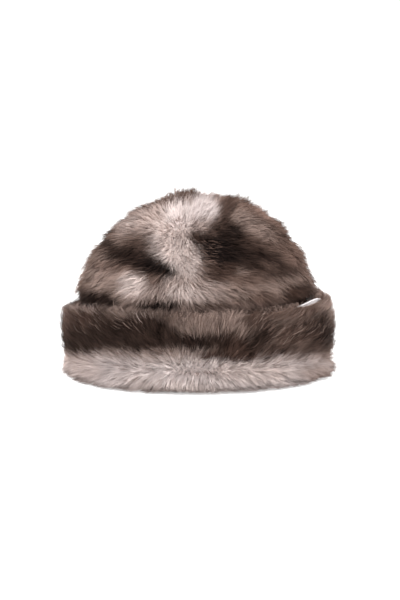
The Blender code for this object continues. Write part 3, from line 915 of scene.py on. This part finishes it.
class Coat:
    """The pile of one part of the hat: how it lies, how long it is and its tones."""

    def __init__(self, name, ground, strokes, tones, reach, seed):
        self.name = name
        self.ground = ground
        self.strokes = strokes
        self.front, self.back = tones
        self.reach = reach
        self.chance = np.random.default_rng(seed)
        self.wide_turn = drift(seed + 1, 0.035)
        self.fine_turn = drift(seed + 2, 0.011)
        self.height_sway = drift(seed + 3, 0.020)
        self.reach_sway = drift(seed + 4, 0.024)
        area = ground.area()
        self.locks = self.ground.sown(int(area / LOCK_SPACING ** 2), self.density, self.chance)[0]
        self.clumps = self.ground.sown(int(area / CLUMP_SPACING ** 2), self.density, self.chance)[0]
        self.lock_tones = self.chance.normal(1.0, LOCK_TONES, len(self.locks))
        self.lock_lengths = self.chance.normal(1.0, LOCK_UNEVEN, len(self.locks)).clip(*LOCK_LIMITS)
        self.clump_tones = self.chance.normal(1.0, CLUMP_TONES, len(self.clumps))

    def grown(self, kind, count):
        """Roots, normals and paths of hairs of one kind."""
        chance = self.chance
        roots, normals = self.ground.sown(count, self.density, chance)
        over_roots = roots + normals * self.length(roots, normals, roots)[:, None] * COMBED_HEIGHT
        ways = combed(over_roots, normals, self.base_comb(roots, normals), self.strokes)
        firm = np.linalg.norm(ways, axis=1).clip(LEAST_LEAN, 1)
        turns = self.wide_turn(roots) * WIDE_TURN + self.fine_turn(roots) * FINE_TURN
        turns = turns + chance.normal(0, kind.stray, count)
        ways = turned_about(unit(ways), normals, turns)
        reach = self.reach * kind.reach * firm * (1 + REACH_SWAY * self.reach_sway(roots))
        reach = reach * chance.normal(1.0, REACH_UNEVEN, count).clip(*REACH_LIMITS)
        height = self.length(roots, normals, roots + ways * reach[:, None] * LOOKED_AHEAD)
        height = height * kind.height * (1 + HEIGHT_SWAY * self.height_sway(roots))
        height = height * chance.normal(1.0, kind.uneven, count).clip(*HEIGHT_LIMITS)
        rise = (1.5 * kind.steps - 0.5 * kind.steps ** 3)[None] * height[:, None]
        run = kind.steps[None] ** RUN_POWER * reach[:, None]
        lift = self.lift(normals)
        paths = roots[:, None] + lift[:, None] * rise[:, :, None] + ways[:, None] * run[:, :, None]
        return roots, normals, paths

    def gathered(self, roots, normals, paths, kind):
        """Draws hairs into locks and clumps. Returns their lock and clump too, and how they round off."""
        lock = nearest(roots, self.locks)
        clump = nearest(roots, self.clumps)
        to_lock = self.locks[lock] - roots
        to_clump = self.clumps[clump] - roots
        grip = kind.steps[None, :, None] ** GRIP_POWER
        paths = roots[:, None] + (paths - roots[:, None]) * self.lock_lengths[lock][:, None, None]
        paths = paths + to_lock[:, None] * grip * LOCK_PULL + to_clump[:, None] * grip * CLUMP_PULL
        bulge = -to_lock / LOCK_SPACING * LOCK_BULGE - to_clump / CLUMP_SPACING * CLUMP_BULGE
        phases = (lock * GOLDEN_ANGLE % (2 * math.pi)) + self.chance.normal(0, PHASE_SPREAD, len(roots))
        sides = np.cross(unit(paths[:, -1] - paths[:, 0]), normals)
        size = self.chance.uniform(*WAVE_SIZES, len(roots))
        wave = np.sin(phases[:, None] + kind.steps[None] * WAVE_LENGTH) * kind.steps[None] * size[:, None]
        return paths + sides[:, None] * wave[:, :, None], lock, clump, bulge

    def shades(self, kind, paths, normals, lock, clump, own):
        """Colours along each hair, from its root to its tip, with painted shade at the roots of dark hairs
        and painted light at the roots of pale ones.
        """
        chance = self.chance
        ragged = chance.normal(0, RAGGED, (len(paths), 2))
        upper = paths[:, -2]
        tones = tone_at(upper, normals, self.front, self.back, ragged)
        pixels = in_photo(np.where(facing(upper, normals)[:, None] > 0, upper, upper * TURNED))
        for strand in self.strands:
            picked = chance.uniform(0, 1, len(paths)) < inside(pixels, strand)
            tones[picked] = linear(TONES[strand.tone])
        bright = eased(tones.mean(axis=1) / BRIGHT_TONE)
        # Painted shade at the roots of dark hairs and painted light at the roots of pale ones, easing off
        # towards the tip
        root = PAINTED_ROOT_SHADE_ON_DARK + (PAINTED_ROOT_LIGHT_ON_PALE - PAINTED_ROOT_SHADE_ON_DARK) * bright
        up = (kind.steps - kind.steps[0]) / (1 - kind.steps[0])
        along = root[:, None] + (1 - root[:, None]) * up[None] ** ROOT_POWER
        shared = self.lock_tones[lock] * self.clump_tones[clump] * own
        shades = tones[:, None] * shared[:, None, None] * along[:, :, None]
        draw = chance.uniform(0, 1, len(paths))
        tipped = draw < kind.tipped * (1 - FEWER_TIPPED * bright)
        tip = linear(TONES["umber"]) * (1 - bright)[:, None] * 1.5 + linear(TONES["brown"]) * bright[:, None]
        shades[tipped, -1] = shades[tipped, -1] * 0.25 + tip[tipped] * 0.75
        shades[tipped, -2] = shades[tipped, -2] * 0.65 + tip[tipped] * 0.35
        return shades

    def make(self, slot, node_of):
        """Makes the pieces of this coat, quarter by quarter: its guard hairs, and the down that they lead."""
        chance = self.chance
        guards, guard_normals, guard_paths = self.grown(GUARD, self.guards)
        guard_paths, lock, clump, bulge = self.gathered(guards, guard_normals, guard_paths, GUARD)
        guard_paths, shown = self.held(guards, guard_normals, guard_paths, lock)
        guard_own = chance.normal(1.0, GUARD.mottle, len(guards)).clip(*GUARD_MOTTLE_LIMITS)
        shades = self.shades(GUARD, guard_paths, guard_normals, lock, clump, guard_own)
        self.quarters(slot, node_of, GUARD, guards, shown, guard_paths, shades, bulge)

        roots, normals, paths = self.grown(DOWN, self.downs)
        paths, lock, clump, bulge = self.gathered(roots, normals, paths, DOWN)
        leader = nearest(roots, guards)
        # The leaders' paths at the places along the down
        along = np.interp(DOWN.steps, GUARD.steps, np.arange(len(GUARD.steps)))
        low = np.minimum(along.astype(int), len(GUARD.steps) - 2)
        share = (along - low)[None, :, None]
        led = guard_paths[leader]
        led = led[:, low] * (1 - share) + led[:, low + 1] * share
        paths, shown = self.held(roots, normals, drawn_to(paths, led, DOWN, chance), lock)
        own = chance.normal(1.0, DOWN.mottle, len(roots)).clip(*DOWN_MOTTLE_LIMITS)
        own = guard_own[leader] * LED_TONE + own * (1 - LED_TONE)
        shades = self.shades(DOWN, paths, normals, lock, clump, own)
        self.quarters(slot, node_of, DOWN, roots, shown, paths, shades, bulge)

    def quarters(self, slot, node_of, kind, roots, normals, paths, shades, bulge):
        """Makes a piece of the hairs of each quarter of the hat."""
        turn = azimuth_of(roots)
        for place, name in enumerate(QUARTERS):
            mine = (turn // 90).astype(int) % 4 == place
            own = [values[mine] for values in (paths, normals, shades, bulge)]
            piece = hair_piece(f"{self.name}_{kind.name}_{name}", kind, *own, self.chance)
            dress(piece, slot, node_of(name))


class CrownCoat(Coat):
    """The crown's pile."""

    strands = CROWN_STRANDS
    guards = CROWN_GUARDS
    downs = CROWN_DOWNS

    def density(self, points, normals):
        """How thickly it is sown: none deep behind the cuff."""
        above = eased((points[:, 2] - rim_at(points) + SOWN_UNDER_RIM) / SOWN_SOFT)
        return above * back_thinning(normals)

    def base_comb(self, points, normals):
        """Away from the whorl on all sides."""
        away = points - np.array(WHORL)
        way = unit(away - normals * dot(away, normals)[:, None])
        return way * eased(np.linalg.norm(away, axis=1) / WHORL_REACH)[:, None]

    def length(self, points, normals, ahead):
        """Its length, as short as the pile that it lies over."""
        return np.minimum(crown_pile_at(ahead), crown_pile_at(points) * MOST_AHEAD)

    def lift(self, normals):
        """The way that the hairs grow."""
        return normals

    def held(self, roots, normals, paths, lock):
        """Leaves the hairs as they have grown."""
        return paths, normals

    def shades(self, kind, paths, normals, lock, clump, own):
        """Darker where the cuff keeps the light away."""
        shades = super().shades(kind, paths, normals, lock, clump, own)
        over = (paths[:, :, 2] - rim_at(paths[:, -1])[:, None] - GAP_SHADE_FROM) / GAP_SHADE_RISE
        return shades * (GAP_SHADE + (1 - GAP_SHADE) * eased(over))[:, :, None]


class CuffCoat(Coat):
    """The cuff's pile."""

    strands = CUFF_STRANDS
    guards = CUFF_GUARDS
    downs = CUFF_DOWNS

    def density(self, points, normals):
        """How thickly it is sown: thinly under the fold."""
        free = FOLD_SOWN + (1 - FOLD_SOWN) * eased((normals[:, 2] - FOLD_SOWN_FROM) / FOLD_SOWN_SOFT)
        return free * back_thinning(normals)

    def base_comb(self, points, normals):
        """Up and fanned out to both sides, and down along the fold."""
        turn = np.radians(azimuth_of(points))
        around = np.stack((np.cos(turn), np.sin(turn), np.zeros(len(turn))), axis=1)
        upwards = unit(np.cross(normals, around))
        upwards = np.where(upwards[:, 2:] < 0, -upwards, upwards)
        rise = COMB_LOW + (1 - COMB_LOW) * eased((points[:, 2] - COMB_PARTING) / COMB_PARTING)
        fold = eased((-normals[:, 2] - COMB_FOLD_FROM) / COMB_FOLD_SOFT)
        rise = rise * (1 - fold) + COMB_UNDER * fold
        return unit(around * (CUFF_FAN * np.sin(turn))[:, None] + upwards * rise[:, None])

    def length(self, points, normals, ahead):
        """Its length, whatever it lies over."""
        return cuff_pile_at(points, normals)

    def lift(self, normals):
        """The way that the hairs grow: straight out, and level at the fold."""
        fold = eased((-normals[:, 2] - LEVEL_FROM) / LEVEL_SOFT)[:, None]
        return unit(normals * (1 - fold) + unit(normals * (1, 1, 0)) * fold)

    def shades(self, kind, paths, normals, lock, clump, own):
        """With brown tips along the lower edge, which also stand as painted shade where the edge meets the
        floor.
        """
        shades = super().shades(kind, paths, normals, lock, clump, own)
        # The lowest outer tips turn umber: dark tips, and painted shade where the edge meets the floor
        low = eased((EDGE_TIPS_AND_SHADE_UNDER - paths[:, -1, 2]) / EDGE_TIPS_AND_SHADE_UNDER * 1.5)
        low = low * eased((out_of_head(paths[:, -1]) - EDGE_TIPS_AND_SHADE_OUT) / EDGE_TIPS_AND_SHADE_SOFT)
        share = (low[:, None] * kind.steps[None] ** 3)[:, :, None]
        return shades * (1 - share) + linear(TONES["umber"]) * share

    def held(self, roots, normals, paths, lock):
        """Bends the rim's hairs over it, brings the fold's down, and ends them all near a plumb wall."""
        steps = np.linspace(HELD_FROM, 1.0, paths.shape[1])
        inwards = -unit(roots * (1, 1, 0))
        near = eased((roots[:, 2] - rim_at(roots) + RIM_ZONE) / RIM_ZONE)
        low = eased((LOW_ZONE - roots[:, 2]) / (LOW_ZONE * LOW_SOFT))
        paths = self.ended_at_rim(roots, paths, steps, inwards, near)
        paths, rolled = self.rolled_over_rim(roots, paths, steps, inwards, near)
        paths = self.brought_down(roots, paths, steps, low)
        paths = self.ended_at_wall(roots, paths, steps, inwards, low, lock)
        lowest = FLOOR_CLEAR + self.chance.uniform(0, LOWEST_SPREAD, len(roots))[:, None]
        paths[:, :, 2] = np.maximum(paths[:, :, 2], lowest)
        over_rim = unit(normals * 0.2 + inwards * 0.5 + (0, 0, 0.6))
        return paths, np.where(rolled[:, None], over_rim, normals)

    def ended_at_rim(self, roots, paths, steps, inwards, near):
        """Tucks the rim's hairs inwards, and ends them at the height that RIM_FUR gives."""
        chance = self.chance
        count = len(roots)
        tuck = near * rim_fur_at(roots, "tuck") * chance.uniform(*TUCK_SPREAD, count)
        paths = paths + inwards[:, None] * (tuck[:, None] * steps[None] ** 2)[:, :, None]
        top = rim_at(roots) + rim_fur_at(roots, "rise")
        top = top + chance.normal(0, RIM_UNEVEN, count) + RIM_TUFTS * wall_tufts(roots)
        over = paths[:, -1, 2] > top
        room = (top - roots[:, 2]) / np.maximum(paths[:, -1, 2] - roots[:, 2], TINY)
        share = np.where(over, room.clip(LEAST_ROOM, 1), 1.0)
        paths[:, :, 2] = roots[:, None, 2] + (paths[:, :, 2] - roots[:, None, 2]) * share[:, None]
        lift = np.maximum(top - chance.uniform(0, RIM_SPREAD, count) - paths[:, -1, 2], 0)
        lift = lift * eased(near * 2 - 0.8)
        paths[:, :, 2] += lift[:, None] * steps[None] ** 1.3
        paths[:, :, 2] -= (tuck * 0.6)[:, None] * steps[None] ** 4
        return paths

    def rolled_over_rim(self, roots, paths, steps, inwards, near):
        """Rolls a share of the rim's hairs over it. Returns which they are, too."""
        chance = self.chance
        count = len(roots)
        rim = rim_at(roots)
        rolled = (near > ROLLED_FROM) & (chance.uniform(0, 1, count) < rim_fur_at(roots, "rolled") * near)
        around = np.cross(inwards, (0.0, 0.0, 1.0)) * chance.normal(0, ROLL_STRAY, count)[:, None]
        insides = np.interp(steps, ROLL_STEPS, ROLL_INSIDE)
        rises = np.interp(steps, ROLL_STEPS, ROLL_RISE)
        for place, step in enumerate(steps):
            deep = insides[place] * chance.uniform(*ROLL_DEPTHS, count)
            high = rises[place] * chance.uniform(*ROLL_HEIGHTS, count)
            high = high + ROLL_TUFTS * step * self.fine_turn(roots)
            moved = (roots + around * step) * (1, 1, 0)
            moved = moved + inwards * deep[:, None] + (0, 0, 1) * (rim + high)[:, None]
            paths[rolled, place] = moved[rolled]
        return paths, rolled

    def brought_down(self, roots, paths, steps, low):
        """Brings the fold's hairs down to the floor."""
        goal = FLOOR_CLEAR + self.chance.uniform(0, GOAL_SPREAD, len(roots)) + roots[:, 2] * GOAL_SLOPE
        fall = (goal - paths[:, -1, 2]) * low
        paths[:, :, 2] += fall[:, None] * steps[None] ** 1.5
        return paths

    def ended_at_wall(self, roots, paths, steps, inwards, low, lock):
        """Spreads the fold's hairs out to the wall, and draws those past it back to it."""
        chance = self.chance
        count = len(roots)
        out = out_of_head(paths.reshape(-1, 3)).reshape(paths.shape[:2])
        wall = np.interp(azimuth_of(paths[:, -1]), CUFF_WALL_AT, CUFF_WALL)
        wall = wall + WALL_TUFTS * wall_tufts(roots)
        wall = wall + chance.normal(0, WALL_UNEVEN, count) - WALL_UNEVEN
        wall = wall + (self.lock_lengths[lock] - 1) * WALL_LOCKS
        loose = chance.uniform(0, 1, count) < LOOSE_SHARE
        wall = wall + loose * chance.uniform(0, LOOSE_TIPS, count)
        foot = np.interp(azimuth_of(roots), FOOT_AT, FOOT)
        spread = np.maximum(wall + foot - chance.uniform(0, FOOT_SPREAD, count) - out[:, -1], 0) * low
        wall = wall + np.minimum(foot, 0) * low
        paths = paths - inwards[:, None] * (spread[:, None] * steps[None] ** FOOT_POWER)[:, :, None]
        out = out + spread[:, None] * steps[None] ** FOOT_POWER
        past = np.maximum(out - wall[:, None], 0)
        back = past - CUFF_PAST_WALL * np.tanh(past / CUFF_PAST_WALL)
        return paths + inwards[:, None] * back[:, :, None]


def dress(piece, slot, *nodes):
    """Puts a finished piece on the hat, for these nodes of the CAD."""
    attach(piece, "root")
    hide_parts(*nodes)


def undercoat(name, skin, length_at, share, tones):
    """The dense coat under the hairs, as a closed layer on a growing skin, its tone darkened as painted shade
    between the hairs.
    """
    coat = bmesh.new()
    coat.from_mesh(skin.data)
    kept = coat.verts.layers.float_vector.new("way_out")
    for corner in coat.verts:
        corner[kept] = corner.normal
    raised = bmesh.ops.extrude_face_region(coat, geom=coat.faces[:])["geom"]
    moved = [item for item in raised if isinstance(item, bmesh.types.BMVert)]
    places = np.array([corner.co for corner in moved])
    ways = np.array([corner[kept] for corner in moved])
    full = eased((FULL_UNDER - places[:, 2]) / FULL_UNDER * 1.5)
    lengths = length_at(places, ways) * (share + (FULL_SHARE - share) * full)
    for corner, way, length in zip(moved, ways, lengths):
        corner.co += Vector(way) * float(length)
        corner.co.z = max(corner.co.z, UNDERCOAT_CLEAR)
    bmesh.ops.recalc_face_normals(coat, faces=coat.faces)
    mesh = bpy.data.meshes.new(name)
    coat.to_mesh(mesh)
    coat.free()
    mesh.shade_smooth()
    points, normals = vertices_of(mesh)
    tone = tone_at(points + normals * TONE_ABOVE, normals, *tones, 0.0)
    # Painted shade: the undercoat is darker than the pile's tone, most where that tone is dark
    bright = eased(tone.mean(axis=1) / BRIGHT_TONE)
    give_tones(mesh, tone * (UNDERCOAT_PAINTED_SHADE_LOW + UNDERCOAT_PAINTED_SHADE_RISE * bright)[:, None])
    mesh.materials.append(wool_surface)
    return linked(name, mesh)


def raise_lip(mesh):
    """Raises the cuff's cut edge where it stands out of the pile."""
    places = vertices_of(mesh)[0]
    near = eased((places[:, 2] - rim_at(places) + LIP_ZONE) / LIP_ZONE)
    places[:, 2] += np.interp(azimuth_of(places), LIP_AT, LIP) * near
    mesh.vertices.foreach_set("co", places.ravel())
    mesh.update()


def hide_piece(name, node, surface):
    """Makes a cut piece of hide, smooth but for its cut edges."""
    skin = merged([node], SAME_POINT)
    crease = skin.edges.layers.float.new("crease_edge")
    for edge in skin.edges:
        if len(edge.link_faces) == 2 and edge.calc_face_angle() > math.radians(CUT_EDGE_ANGLE):
            edge[crease] = CUT_EDGE_CREASE
            edge.smooth = False
    made = smoothed(skin, name)
    if node.startswith("cuff"):
        raise_lip(made.data)
    made.data.materials.clear()
    made.data.materials.append(surface)
    dress(made, "hide", node)


def make_hide():
    """Makes the suede of the crown and of the cuff."""
    suede = suede_material()
    for name in QUARTERS:
        hide_piece(f"crown_suede_{name}", f"crown_hide_{name}", suede)
    for name in HALVES:
        hide_piece(f"cuff_suede_{name}", f"cuff_hide_{name}", suede)


def make_pile():
    """Makes the undercoats and the hairs, and takes the growing skins away."""
    crown_tones = (CROWN_FRONT, CROWN_BACK)
    cuff_tones = (CUFF_FRONT, CUFF_BACK)
    coat = undercoat(
        "crown_undercoat",
        crown_skin,
        lambda points, ways: crown_pile_at(points),
        CROWN_UNDERCOAT,
        crown_tones,
    )
    dress(coat, "crown_fur", *[f"crown_fur_{name}" for name in QUARTERS])
    coat = undercoat("cuff_undercoat", cuff_skin, cuff_pile_at, CUFF_UNDERCOAT, cuff_tones)
    dress(coat, "cuff_fur", *[f"cuff_fur_{name}" for name in HALVES])
    crown = CrownCoat("crown", crown_ground, CROWN_STROKES, crown_tones, CROWN_REACH, 20)
    crown.make("crown_fur", lambda quarter: f"crown_fur_{quarter}")
    cuff = CuffCoat("cuff", cuff_ground, CUFF_STROKES, cuff_tones, CUFF_REACH, 40)
    cuff.make("cuff_fur", lambda quarter: f"cuff_fur_{quarter.split('_')[0]}")
    for skin in (crown_skin, cuff_skin):
        mesh = skin.data
        bpy.data.objects.remove(skin)
        bpy.data.meshes.remove(mesh)


def make_floor():
    """Makes a pale paper floor."""
    floor = bmesh.new()
    bmesh.ops.create_grid(floor, x_segments=1, y_segments=1, size=FLOOR_SIZE)
    bmesh.ops.translate(floor, verts=floor.verts, vec=(0, 0, cad_low[2] - FLOOR_DROP))
    mesh = bpy.data.meshes.new("floor")
    floor.to_mesh(mesh)
    floor.free()
    paper, shader = matt_material("paper", 0.9, 0.0)[:2]
    with_inputs(shader, Base_Color=(0.92, 0.92, 0.92, 1), Emission_Color=(1, 1, 1, 1), Emission_Strength=0.5)
    mesh.materials.append(paper)
    linked("floor", mesh)


def aimed(made, place, aim):
    """Puts a lamp or a camera in its place, and turns it to what it looks at."""
    made.location = place
    made.rotation_euler = (Vector(aim) - Vector(place)).to_track_quat("-Z", "Y").to_euler()


def make_lamp(name, place, size, power):
    """Makes a soft round lamp over the hat."""
    light = bpy.data.lights.new(name, "AREA")
    light.shape = "DISK"
    light.size = size
    light.energy = power
    aimed(linked(name, light), place, LAMPS_AIM)


def make_studio():
    """Makes the floor, the soft light and the photograph's camera."""
    make_floor()
    world = bpy.data.worlds.new("studio")
    bpy.context.scene.world = world
    world.use_nodes = True
    with_inputs(world.node_tree.nodes["Background"], Color=(1, 1, 1, 1), Strength=1.25)
    make_lamp("key", (-0.35, -0.9, 1.5), 0.9, 22)
    make_lamp("top", (0.1, 0.2, 1.6), 1.2, 10)
    camera = bpy.data.cameras.new("camera")
    camera.sensor_width = SENSOR
    camera.lens = LENS
    camera.clip_start = 0.01
    taken = linked("camera", camera)
    aimed(taken, CAMERA_AT, CAMERA_AIM)
    bpy.context.scene.camera = taken
    bpy.context.scene.view_settings.view_transform = "Standard"


make_hide()
make_pile()
make_studio()
